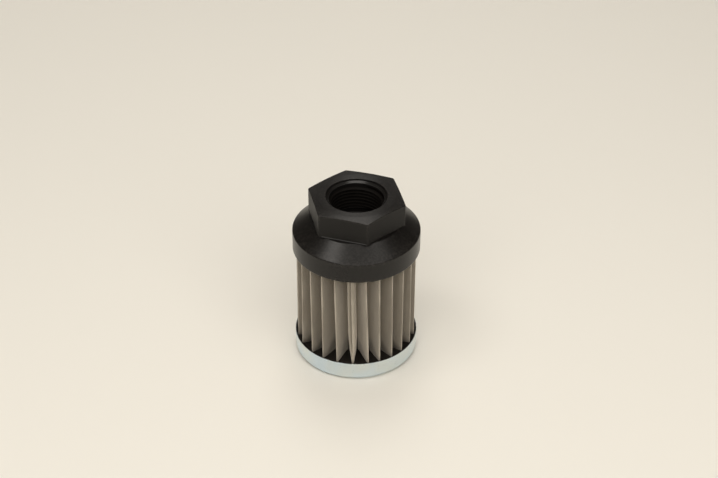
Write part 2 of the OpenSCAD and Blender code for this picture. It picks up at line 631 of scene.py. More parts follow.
@dataclass(frozen=True)
class ZincPlate(Finish):
    """Bright zinc on pressed steel, with a faint blue cast, cloudy patches and draw marks."""

    name: str = Slot.CUP.value
    cool: Colour = (0.68, 0.79, 0.88)
    warm: Colour = (0.74, 0.80, 0.80)
    fine_scale: float = 1800.0
    broad_scale: float = 70.0
    roughness: Span = (0.18, 0.28)
    streak_scale: float = 500.0
    streak_stretch: Triple = (1.0, 1.0, 0.08)
    grain_share: float = 0.4
    draw_strength: float = 0.3
    draw_height: float = 0.00001

    def shade(self, sheet: NodeSheet, shader: Node, effects: Effects) -> None:
        """Feeds the shader's inputs.

        Args:
            sheet: Sheet of the material's nodes.
            shader: The Principled shader.
            effects: Shared node groups.
        """
        grain = sheet.group(effects.grain, Fine_Scale=self.fine_scale, Broad_Scale=self.broad_scale)
        streaks = sheet.noise(self.streak_scale, detail=2.0, stretch=self.streak_stretch)
        height = sheet.maths("ADD", sheet.times(grain["Fine"], self.grain_share), streaks)
        sheet.fill(
            shader,
            Base_Color=sheet.mix(sheet.ramp(grain["Broad"], *NOISE_SPAN), self.cool, self.warm),
            Roughness=sheet.ramp(grain["Fine"], *NOISE_SPAN, *self.roughness),
            Metallic=1.0,
            Normal=sheet.bump(height, self.draw_strength, self.draw_height),
        )


@dataclass(frozen=True)
class WireCloth(Finish):
    """Fine plain-woven stainless wire, matt, darkened where the potting has crept up it and by painted
    shade low in the grooves.

    Seen square on, the weave shows its dark gaps. From the side the wires close up and look paler, which
    is what the sheen is for.
    """

    name: str = Slot.CLOTH.value
    wire: Colour = (0.345, 0.306, 0.25)
    gap: Colour = (0.165, 0.143, 0.115)
    sheen: Colour = (1.0, 0.92, 0.80)
    sheen_weight: float = 1.0
    sheen_roughness: float = 0.55
    # Pale crest colour: rubbing of the wire plus a painted highlight along each fold.
    rubbed_and_highlight: Colour = (0.68, 0.62, 0.53)
    soaked_and_shaded: Colour = (0.012, 0.010, 0.009)
    pitch: float = 0.22
    wire_span: Span = (0.15, 0.75)
    patch_scale: float = 160.0
    patch_stretch: Triple = (1.0, 1.0, 0.25)
    patch_span: Span = (0.3, 0.75)
    patch_share: float = 0.25
    wear_and_highlight_amount: float = 0.5
    wear_and_highlight_scale: float = 45.0
    roughness: float = 0.50
    metallic: float = 0.45
    # Line of compound on the cloth, raised in the grooves as painted shade.
    soak_shade_tip_z: float = 9.6
    soak_shade_root_z: float = 17.5
    soak_shade_tip_r: float = 28.6
    soak_shade_root_r: float = 20.5
    soak_shade_edge: float = 3.0
    soak_shade_share: float = 0.96
    waver_scale: float = 420.0
    waver: float = 2.0
    weave_strength: float = 0.5
    weave_height: float = 0.00006

    def _weave(self, sheet: NodeSheet) -> Socket:
        """Height of a plain weave, from 0 in the gaps to 1 on the wires.

        Args:
            sheet: Sheet of the material's nodes.

        Returns:
            The height.
        """
        uv = sheet.tree.nodes.new("ShaderNodeUVMap")
        uv.uv_map = CLOTH_UV
        along = sheet.add("ShaderNodeSeparateXYZ", Vector=uv.outputs[0]).outputs
        turn = math.pi / self.pitch
        waves = [sheet.maths("SINE", sheet.times(along[axis], turn)) for axis in "XY"]
        return sheet.maths("ADD", sheet.times(sheet.times(*waves), 0.5), 0.5)

    def _soak_and_groove_shade(self, sheet: NodeSheet) -> Socket:
        """How far the compound has crept up the cloth, together with painted shade that reaches higher in
        the grooves than at the tips.

        Args:
            sheet: Sheet of the material's nodes.

        Returns:
            The share of compound and painted shade, from 0 to 1.
        """
        radii = (self.soak_shade_root_r * MM, self.soak_shade_tip_r * MM)
        line = sheet.ramp(sheet.radius(), *radii, self.soak_shade_root_z * MM, self.soak_shade_tip_z * MM)
        uneven = sheet.times(sheet.maths("SUBTRACT", sheet.noise(self.waver_scale), 0.5), self.waver * MM)
        height = sheet.maths("SUBTRACT", sheet.part(sheet.spot(), "Z"), line)
        above = sheet.maths("ADD", height, uneven)
        return sheet.ramp(above, -self.soak_shade_edge * MM, self.soak_shade_edge * MM, self.soak_shade_share, 0.0)

    def shade(self, sheet: NodeSheet, shader: Node, effects: Effects) -> None:
        """Feeds the shader's inputs.

        Args:
            sheet: Sheet of the material's nodes.
            shader: The Principled shader.
            effects: Shared node groups.
        """
        weave = self._weave(sheet)
        colour = sheet.mix(sheet.ramp(weave, *self.wire_span), self.gap, self.wire)
        patch = sheet.noise(self.patch_scale, stretch=self.patch_stretch)
        colour = sheet.mix(sheet.ramp(patch, *self.patch_span, 0.0, self.patch_share), colour, self.gap)
        # Marked crests get the pale colour: rubbing plus a painted highlight along the folds.
        worn_and_highlit = sheet.group(effects.edge_wear, Amount=self.wear_and_highlight_amount, Scale=self.wear_and_highlight_scale)["Mask"]
        colour = sheet.mix(worn_and_highlit, colour, self.rubbed_and_highlight)
        sheet.fill(
            shader,
            # Near-black foot of the cloth: compound crept up it, and painted shade deeper in the grooves.
            Base_Color=sheet.mix(self._soak_and_groove_shade(sheet), colour, self.soaked_and_shaded),
            Metallic=self.metallic,
            Roughness=self.roughness,
            Sheen_Weight=self.sheen_weight,
            Sheen_Roughness=self.sheen_roughness,
            Sheen_Tint=self.sheen,
            Normal=sheet.bump(weave, self.weave_strength, self.weave_height),
        )


@dataclass(frozen=True)
class CastPotting(Finish):
    """Black potting compound, cast with a slightly uneven gloss."""

    name: str = "cast_potting"
    deep: Colour = (0.005, 0.0042, 0.0034)
    pale: Colour = (0.014, 0.0115, 0.0092)
    dusty: Colour = (0.14, 0.12, 0.10)
    fine_scale: float = 900.0
    broad_scale: float = 260.0
    dust_amount: float = 0.06
    speck_scale: float = 1500.0
    roughness: Span = (0.28, 0.5)
    specular: float = 0.28
    grain_strength: float = 0.4
    grain_height: float = 0.00008

    def shade(self, sheet: NodeSheet, shader: Node, effects: Effects) -> None:
        """Feeds the shader's inputs.

        Args:
            sheet: Sheet of the material's nodes.
            shader: The Principled shader.
            effects: Shared node groups.
        """
        grain = sheet.group(effects.grain, Fine_Scale=self.fine_scale, Broad_Scale=self.broad_scale)
        dust = sheet.group(effects.dust, Amount=self.dust_amount, Speck_Scale=self.speck_scale)["Mask"]
        colour = sheet.mix(grain["Broad"], self.deep, self.pale)
        sheet.fill(
            shader,
            Base_Color=sheet.mix(dust, colour, self.dusty),
            Roughness=sheet.ramp(grain["Broad"], *NOISE_SPAN, *self.roughness),
            Specular_IOR_Level=self.specular,
            Normal=sheet.bump(grain["Fine"], self.grain_strength, self.grain_height),
        )


@dataclass(frozen=True)
class PaleFloor(Finish):
    """Smooth cream board with a very faint sheen."""

    name: str = "pale_floor"
    tone: Colour = (0.90, 0.872, 0.80)
    tint: Colour = (0.885, 0.857, 0.785)
    fine_scale: float = 400.0
    broad_scale: float = 3.0
    roughness: Span = (0.62, 0.72)
    specular: float = 0.25

    def shade(self, sheet: NodeSheet, shader: Node, effects: Effects) -> None:
        """Feeds the shader's inputs.

        Args:
            sheet: Sheet of the material's nodes.
            shader: The Principled shader.
            effects: Shared node groups.
        """
        grain = sheet.group(effects.grain, Fine_Scale=self.fine_scale, Broad_Scale=self.broad_scale)
        sheet.fill(
            shader,
            Base_Color=sheet.mix(grain["Broad"], self.tone, self.tint),
            Roughness=sheet.ramp(grain["Fine"], *NOISE_SPAN, *self.roughness),
            Specular_IOR_Level=self.specular,
        )


@dataclass(frozen=True)
class CapWearAndHighlight:
    """How much rubbing each place of the cap gets, from 0 to 1; at the hexagon's corners the value also
    paints a highlight.
    """

    skirt_edge: float = 1.0
    skirt_wall: float = 0.1
    shoulder: float = 0.8
    ledge: float = 0.4
    # Corner edges: rubbing plus a painted highlight.
    hex_corner_wear_and_highlight: float = 0.9
    rim: float = 0.7
    rim_corner_wear_and_highlight: float = 0.3
    face: float = 0.25
    mouth: float = 0.7


@dataclass
class CapAssembly:
    """Moulded cap: hexagon, port, shoulder, skirt and spigot, with the thread as a piece of its own."""

    skirt_r: float
    skirt_z: float
    top_z: float
    thread_r: float
    roof_z: float
    skirt_wall: float = 1.4
    skirt_margin: float = 2.0
    skirt_edge_r: float = 0.5
    spigot_r: float = 17.3
    spigot_wall: float = 2.0
    spigot_h: float = 5.5
    hex_af: float = 42.0
    hex_h: float = 12.5
    hex_corner_r: float = 1.0
    hex_corner_width: float = 2.5
    hex_face_r: float = 18.5
    hex_face_band: float = 0.2
    hex_slope: float = 9.0
    hex_edge_r: float = 0.3
    hex_edge_rows: int = 6
    hex_rim_band: float = 1.0
    groove_depth: float = 0.6
    groove_h: float = 0.3
    foot_lip: float = 0.28
    foot_lip_fade: Span = (1.0, 3.0)
    foot_lip_edge: float = 0.06
    foot_lip_top: float = 0.08
    ledge_r: float = 22.5
    ledge_band: float = 0.4
    ledge_rows: int = 8
    ledge_edge_r: float = 0.5
    shoulder_angle: float = 36.5
    shoulder_edge_r: float = 0.8
    shoulder_row_r: float = 26.5
    mouth_r: float = 14.6
    mouth_depth: float = 1.0
    mouth_edge_r: float = 0.2
    lead_in_slope: float = 26.0
    lip_h: float = 3.5
    flow_r: float = 11.5
    thread_pitch: float = 1.814
    thread_depth: float = 1.16
    thread_sunk: float = 0.04
    thread_back: float = 0.2
    thread_half: float = 0.47
    thread_land: float = 0.09
    thread_gap: float = 0.6
    thread_run_in: float = 0.6
    thread_run_out: float = 1.2
    thread_steps: int = 120
    steps_per_flat: int = 44
    steps_per_corner: int = 10
    wear: CapWearAndHighlight = CapWearAndHighlight()

    def __post_init__(self) -> None:
        """Works out what follows from the sizes."""
        self.hex_sharp_r = self.hex_af / 2.0 / math.cos(math.radians(HEX_HALF))
        self.corner_centre_r = self.hex_sharp_r - self.hex_corner_r / math.cos(math.radians(HEX_HALF))
        self.shoulder_rise = math.tan(math.radians(self.shoulder_angle))
        self.ledge_z = self.top_z - self.hex_h
        self.shoulder_z = self.ledge_z - (self.skirt_r - self.ledge_r) * self.shoulder_rise
        self.lead_in_z = self.top_z - self.mouth_depth
        self.lead_in_rise = math.tan(math.radians(self.lead_in_slope))
        self.thread_top_z = self.lead_in_z - (self.mouth_r - self.thread_r) * self.lead_in_rise
        self.lip_z = self.roof_z + self.lip_h

    def _angles(self) -> Array:
        """Angles round the axis, closer together at the hexagon's corners.

        Returns:
            The angles, in degrees.
        """
        half = self._corner_half_angle()
        corner = np.linspace(-half, half, self.steps_per_corner, endpoint=False)
        flat = np.linspace(half, HEX_STEP - half, self.steps_per_flat, endpoint=False)
        one_side = np.concatenate([corner, flat])
        return np.concatenate([one_side + HEX_STEP * k for k in range(HEX_SIDES)])

    @staticmethod
    def _from_corner(angles: Array) -> Array:
        """How far angles lie from the nearest corner of the hexagon, in degrees."""
        return np.abs((angles + HEX_HALF) % HEX_STEP - HEX_HALF)

    def _corner_half_angle(self) -> float:
        """Half the angle at the axis that a rounded corner takes up.

        Returns:
            The angle, in degrees.
        """
        tangent_x = self.corner_centre_r + self.hex_corner_r * math.cos(math.radians(HEX_HALF))
        tangent_y = self.hex_corner_r * math.sin(math.radians(HEX_HALF))
        return math.degrees(math.atan2(tangent_y, tangent_x))

    def _hexagon(self, angles: Array) -> Array:
        """Radius of the rounded hexagon at each angle.

        Args:
            angles: Angles in degrees.

        Returns:
            The radii.
        """
        off = self._from_corner(angles)
        flat = self.hex_af / 2.0 / np.cos(np.radians(HEX_HALF - off))
        side = self.corner_centre_r * np.sin(np.radians(off))
        reach = np.sqrt(np.maximum(self.hex_corner_r**2 - side**2, 0.0))
        corner = self.corner_centre_r * np.cos(np.radians(off)) + reach
        return np.where(off < self._corner_half_angle(), corner, flat)

    def _outer_skirt(self) -> WornProfile:
        """Section from inside the spigot, round the channel and up to the shoulder.

        Returns:
            Radius, height and wear of each point.
        """
        spigot_z, inner_r = self.roof_z - self.spigot_h, self.skirt_r - self.skirt_wall
        hidden = [
            (self.spigot_r - self.spigot_wall, spigot_z),
            (self.spigot_r, spigot_z),
            (self.spigot_r, self.roof_z),
            (inner_r, self.roof_z),
            (inner_r, self.skirt_z),
        ]
        edge = self.skirt_edge_r
        skirt = arc((self.skirt_r - edge, self.skirt_z + edge), edge, -90.0, 0.0)
        margin = self.skirt_margin
        wall = [(self.skirt_r, self.skirt_z + margin), (self.skirt_r, self.shoulder_z - margin)]
        turn = 90.0 - self.shoulder_angle
        setback = self.shoulder_edge_r * math.tan(math.radians(turn / 2.0))
        shoulder_centre = (self.skirt_r - self.shoulder_edge_r, self.shoulder_z - setback)
        shoulder = arc(shoulder_centre, self.shoulder_edge_r, 0.0, turn, steps=6)
        runs = (
            (hidden, 0.0),
            (skirt, self.wear.skirt_edge),
            (wall, self.wear.skirt_wall),
            (shoulder, self.wear.shoulder),
        )
        return [(r, z, wear) for points, wear in runs for r, z in points]

    def _shoulder_top(self, radius: Array) -> Array:
        """Height of the shoulder and of the ledge above it, with a rounded edge between them.

        Args:
            radius: Radii at which to read the height.

        Returns:
            The heights.
        """
        cone = self.ledge_z - (radius - self.ledge_r) * self.shoulder_rise
        turn = math.radians(self.shoulder_angle)
        back = self.ledge_edge_r * math.tan(turn / 2.0)
        off = np.clip(radius - (self.ledge_r - back), 0.0, self.ledge_edge_r * math.sin(turn))
        edge = self.ledge_z - self.ledge_edge_r + np.sqrt(self.ledge_edge_r**2 - off**2)
        end = self.ledge_r - back + self.ledge_edge_r * math.sin(turn)
        return np.where(radius >= end, cone, edge)

    def _port(self) -> WornProfile:
        """Section from the flat ring on top, down the port to the spigot.

        Returns:
            Radius, height and wear of each point.
        """
        edge = self.mouth_edge_r
        mouth = arc((self.mouth_r + edge, self.top_z - edge), edge, 90.0, 180.0, steps=4)
        inside = [
            (self.mouth_r, self.lead_in_z),
            (self.thread_r, self.thread_top_z),
            (self.thread_r, self.lip_z),
            (self.flow_r, self.lip_z),
            (self.flow_r, self.roof_z),
            (self.spigot_r - self.spigot_wall, self.roof_z),
        ]
        return [(r, z, self.wear.mouth) for r, z in mouth] + [(r, z, 0.0) for r, z in inside]

    def build_body(self) -> Piece:
        """Builds the cap as one closed mesh.

        Returns:
            The cap.
        """
        angles = self._angles()
        hexagon, off = self._hexagon(angles), self._from_corner(angles)
        rows: list[list[Array]] = []

        def add(*row: object) -> None:
            """Adds one row's radius, height and rubbing value, which also paints a highlight at the
            hexagon's corners, the same all round or changing with the angle.
            """
            rows.append([np.broadcast_to(np.asarray(value, float), hexagon.shape) for value in row])

        for row in self._outer_skirt():
            add(*row)
        groove, groove_z = hexagon - self.groove_depth, self.ledge_z + self.groove_h
        lip = self.foot_lip * smooth_step(*self.foot_lip_fade, off)
        ledge = np.linspace(self.ledge_r + self.ledge_band, self.ledge_r - self.ledge_band, self.ledge_rows)
        for r in (self.shoulder_row_r, *ledge):
            radius = np.maximum(r, groove)
            add(radius, self._shoulder_top(radius), self.wear.ledge)
        add(groove, self._shoulder_top(groove), 0.0)
        add(groove, groove_z, 0.0)
        add(hexagon + lip, groove_z, 0.0)
        add(hexagon + lip, groove_z + self.foot_lip_edge, 0.0)
        add(hexagon, groove_z + self.foot_lip_top + lip, 0.0)
        slope = math.radians(self.hex_slope)
        rim_z = self.top_z - (hexagon - self.hex_face_r) * math.tan(slope)
        edge = self.hex_edge_r
        edge_z = rim_z + edge * math.tan(slope) - edge / math.cos(slope)
        # Corner band of the hexagon: rubbing plus a painted highlight down the corner edges.
        corner = np.where(off < self.hex_corner_width, 1.0, 0.0)
        add(hexagon, edge_z - self.hex_rim_band, self.wear.hex_corner_wear_and_highlight * corner)
        rim_wear_and_corner_highlight = self.wear.rim + self.wear.rim_corner_wear_and_highlight * corner
        for a in np.radians(np.linspace(0.0, 90.0 - self.hex_slope, self.hex_edge_rows)):
            add(hexagon - edge + edge * math.cos(a), edge_z + edge * math.sin(a), rim_wear_and_corner_highlight)
        band = self.hex_face_band
        add(self.hex_face_r + band, self.top_z - band * math.tan(slope), self.wear.face)
        add(self.hex_face_r - band, self.top_z, self.wear.face)
        for row in self._port():
            add(*row)
        radius, height, wear = (np.stack(values, axis=1) for values in zip(*rows))
        return grid_piece("cap_body", round_points(radius, height, np.radians(angles)), wear)

    def build_thread(self) -> Piece:
        """Sweeps the female thread's ridge up the port, fading in and out of the wall at its ends.

        Returns:
            The thread.
        """
        pitch, foot = self.thread_pitch, self.lip_z + self.thread_pitch
        turns = (self.thread_top_z - self.thread_gap * pitch - foot) / pitch
        turn = np.arange(int(turns * self.thread_steps) + 1) / self.thread_steps
        fade = smooth_step(turns, turns - self.thread_run_out, turn)
        hidden_r = self.thread_r + self.thread_sunk
        ridge = (self.thread_depth + self.thread_sunk) * (smooth_step(0.0, self.thread_run_in, turn) * fade)
        wall_r, crest_r = np.full_like(turn, hidden_r), hidden_r - ridge
        back_r = np.full_like(turn, hidden_r + self.thread_back)
        half, land = self.thread_half * pitch, self.thread_land * pitch
        radii = np.stack([wall_r, crest_r, crest_r, wall_r, back_r, back_r], axis=1)
        heights = (foot + pitch * turn)[:, None] + np.array([-half, -land, land, half, half, -half])
        index = np.arange(radii.size).reshape(radii.shape)
        beside = np.roll(index, -1, axis=1)
        sides = np.stack([index[:-1], index[1:], beside[1:], beside[:-1]], axis=-1).reshape(-1, 4)
        ends = [index[0].tolist(), index[-1][::-1].tolist()]
        points = round_points(radii, heights, FULL_TURN * turn)
        return make_piece("port_thread", points, sides.tolist() + ends)

    def build(self, satin: Material, dull_shaded: Material) -> None:
        """Builds and dresses the cap's pieces, the body satin and the thread in a copy of its finish with
        far less shine, as painted shade in the port.
        """
        place(self.build_body(), Slot.CAP, satin, "top_cap")
        place(self.build_thread(), Slot.CAP, dull_shaded)


@dataclass
class FilterPack:
    """Pleated wire cloth round its core tube, with the uneven folds of a hand-set pack."""

    tip_r: float
    core_r: float
    low_z: float
    high_z: float
    camera_azimuth: float
    pleats: int = 25
    thickness: float = 0.3
    core_gap: float = 0.1
    crest_r: float = 0.22
    valley_r: float = 0.6
    low_flare: float = 0.15
    flare_power: float = 1.5
    first_crest: float = -5.7
    low_offsets: tuple[float, ...] = (-1.3, 1.6, 1.1, 1.8, 2.8, 3.3, 0.3, -0.5, -1.6, -0.9, -1.0)
    high_offsets: tuple[float, ...] = (-0.6, 0.0, 0.0, -0.6, 0.8, 0.3, -0.8, -1.3, -1.2, -1.5, -1.5)
    first_offset: int = -4
    seam_pleat: int = 4
    seam_r: float = 1.8
    seam_span: Span = (0.12, 0.36)
    seam_dent: float = 1.2
    seam_dent_at: float = 0.39
    seam_dent_width: float = 0.07
    seam_valley_rise: float = 2.6
    seam_valley_turn: float = -2.4
    hidden_scatter: float = 0.7
    top_lean: float = 0.4
    top_scatter: float = 0.8
    valley_scatter: float = 1.0
    # Band below the tips that gets the pale crest colour: rubbing plus a painted highlight.
    crest_highlight_from: float = 0.5
    crest_highlight_full: float = 0.05
    levels: int = 34
    arc_steps: int = 18
    wall_steps: int = 5
    seed: int = 7
    rng: random.Random = field(init=False)

    def __post_init__(self) -> None:
        """Seeds the scatter of the folds and works out where they touch the core."""
        self.rng = random.Random(self.seed)
        self.root_r = self.core_r + self.core_gap

    def _scatter(self, most: float) -> float:
        """Next random number between -most and most."""
        return self.rng.uniform(-most, most)

    def _crest_angles(self) -> tuple[Array, Array]:
        """Angles of the outer folds, in degrees from +X.

        Returns:
            The angles at the foot and at the top.
        """
        pitch = 360.0 / self.pleats
        towards_camera = self.camera_azimuth - 90.0
        low, high = [], []
        for k in range(self.first_offset, self.first_offset + self.pleats):
            regular = towards_camera + self.first_crest + pitch * k
            seen = k - self.first_offset
            if seen < len(self.low_offsets):
                low.append(regular + self.low_offsets[seen])
                high.append(regular + self.high_offsets[seen])
            else:
                lean = self._scatter(self.hidden_scatter)
                low.append(regular + lean)
                high.append(regular + lean * self.top_lean + self._scatter(self.top_scatter))
        return np.array(low), np.array(high)

    def _level_line(self, share: float, low: Array, high: Array, sway: Array) -> Array:
        """Middle line of the cloth at one height, with the outward normal of each point.

        Args:
            share: Height as a share from the foot to the top.
            low: Crest angles at the foot.
            high: Crest angles at the top.
            sway: Scatter of each valley's angle.

        Returns:
            Rows of x, y, normal x and normal y.
        """
        crest = low + (high - low) * smooth_step(0.0, 1.0, share)
        crest_r = np.full(self.pleats, self.crest_r)
        bend = float(smooth_step(*self.seam_span, share))
        crest_r[self.seam_pleat] += (self.seam_r - self.crest_r) * bend
        after = np.roll(crest, -1)
        after[-1] += 360.0
        valley = (crest + after) / 2.0 + sway
        tip = self.tip_r + self.low_flare * (1.0 - share) ** self.flare_power
        crest_at = self._polar(tip - crest_r - self.thickness / 2.0, crest)
        root = np.full(self.pleats, self.root_r + self.valley_r + self.thickness / 2.0)
        root[self.seam_pleat] += self.seam_valley_rise * bend
        valley_at = self._polar(root, valley)
        before = np.roll(valley_at, 1, axis=0)
        into = self._wall_normal(before, crest_at, crest_r, -1.0)
        out_of = self._wall_normal(valley_at, crest_at, crest_r, 1.0)
        rows = []
        for i in range(self.pleats):
            dent = self.seam_dent * bend if i == self.seam_pleat else 0.0
            rows += self._fold(crest_at[i], crest_r[i], into[i], out_of[i], 1.0, dent)
            following = into[(i + 1) % self.pleats]
            rows += self._fold(valley_at[i], self.valley_r, -out_of[i], -following, -1.0)
        return np.array(rows)

    @staticmethod
    def _polar(radius: Array, angles: Array) -> Array:
        """Points at radii and angles in degrees."""
        turn = np.radians(angles)
        return np.stack([radius * np.cos(turn), radius * np.sin(turn)], axis=-1)

    def _wall_normal(self, valley: Array, crest: Array, crest_r: Array, side: float) -> Array:
        """Outward normals of the flat walls that touch both folds.

        Args:
            valley: Middles of the inner folds.
            crest: Middles of the outer folds.
            crest_r: Radii of the outer folds.
            side: 1 for the wall after the crest, -1 for the wall before it.

        Returns:
            One unit normal for each wall.
        """
        span = valley - crest
        length = np.linalg.norm(span, axis=1, keepdims=True)
        way = span / length
        sine = (crest_r[:, None] + self.valley_r) / length
        across = side * np.stack([way[:, 1], -way[:, 0]], axis=-1)
        return sine * way + np.sqrt(1.0 - sine**2) * across

    def _fold(
        self, centre: Array, radius: float, first: Array, last: Array, side: float, dent: float = 0.0
    ) -> list:
        """Points and outward normals round one fold.

        Args:
            centre: Middle of the fold.
            radius: Radius of the fold.
            first: Direction of its first point.
            last: Direction of its last point.
            side: 1 where the fold bulges outwards, -1 where it turns inwards.
            dent: Depth of the crease along the seam.

        Returns:
            Rows of x, y, normal x and normal y.
        """
        start = math.atan2(first[1], first[0])
        sweep = side * ((side * (math.atan2(last[1], last[0]) - start)) % FULL_TURN)
        rows = []
        for k in range(self.arc_steps + 1):
            share = k / self.arc_steps
            a = start + sweep * share
            way = np.array([math.cos(a), math.sin(a)])
            sunk = dent * math.exp(-(((share - self.seam_dent_at) / self.seam_dent_width) ** 2))
            rows.append((*(centre + (radius - sunk) * way), *(side * way)))
        return rows

    def build_cloth(self) -> Piece:
        """Builds the folded strip as a closed sheet with the weave's own coordinates.

        Returns:
            The cloth.
        """
        low, high = self._crest_angles()
        sway = np.array([self._scatter(self.valley_scatter) for _ in low])
        sway[self.seam_pleat] = self.seam_valley_turn
        heights = np.linspace(0.0, 1.0, self.levels)
        lines = np.stack([self._level_line(share, low, high, sway) for share in heights])
        lines = self._with_wall_points(lines)
        z = self.low_z + (self.high_z - self.low_z) * heights
        z = np.broadcast_to(z[:, None, None], (*lines.shape[:2], 1))
        sheets = []
        for side in (self.thickness / 2.0, -self.thickness / 2.0):
            xy = lines[:, :, :2] + side * lines[:, :, 2:]
            sheets.append(np.concatenate([xy, z], axis=-1).transpose(1, 0, 2))
        outer, inner = sheets
        points = np.concatenate([outer, inner[:, ::-1]], axis=1)
        piece = grid_piece("pleated_cloth", points, self._crest_rub_and_highlight(points))
        self._lay_weave(piece, lines[0, :, :2], 2 * self.levels)
        return piece

    def _crest_rub_and_highlight(self, points: Array) -> Array:
        """Marks the outermost part of each outer fold for the pale crest colour, rubbing plus a painted
        highlight, with one value for each point.
        """
        radius = np.hypot(points[..., 0], points[..., 1])
        return smooth_step(self.tip_r - self.crest_highlight_from, self.tip_r - self.crest_highlight_full, radius)

    def _with_wall_points(self, lines: Array) -> Array:
        """Adds points along each flat wall between two folds.

        Args:
            lines: Levels by points by 4, fold after fold.

        Returns:
            The lines with the added points.
        """
        levels, count, width = lines.shape
        per_fold = self.arc_steps + 1
        folds = lines.reshape(levels, count // per_fold, per_fold, width)
        following = np.roll(folds, -1, axis=1)[:, :, :1]
        share = (np.arange(1, self.wall_steps) / self.wall_steps)[None, None, :, None]
        wall = folds[:, :, -1:] * (1.0 - share) + following * share
        return np.concatenate([folds, wall], axis=2).reshape(levels, -1, width)

    @staticmethod
    def _lay_weave(piece: Piece, line: Array, rows: int) -> None:
        """Writes how far along and how far up the strip each corner of a face lies, in millimetres.

        Args:
            piece: The cloth.
            line: Middle line of the cloth at its foot.
            rows: Points of the mesh at each point of the line.
        """
        mesh = piece.data
        length = np.concatenate([[0.0], np.cumsum(np.linalg.norm(np.diff(line, axis=0), axis=1))])
        along = np.repeat(length, rows)
        co = np.zeros(len(mesh.vertices) * 3)
        mesh.vertices.foreach_get("co", co)
        co = co.reshape(-1, 3)
        layer = mesh.uv_layers.new(name=CLOTH_UV)
        corner = np.zeros(len(mesh.loops), dtype=int)
        mesh.loops.foreach_get("vertex_index", corner)
        uv = np.stack([along[corner], co[corner, 2] / MM], axis=-1)
        layer.data.foreach_set("uv", uv.reshape(-1))

    def build(self, cloth: Material, steel: Material, core: Piece) -> None:
        """Builds and dresses the cloth, and dresses the core tube.

        Args:
            cloth: Material of the cloth.
            steel: Material of the core tube.
            core: The core tube's own solid.
        """
        place(self.build_cloth(), Slot.CLOTH, cloth, "pleated_mesh")
        dress(core, steel)
        LOG.info("core_tube: dressed")


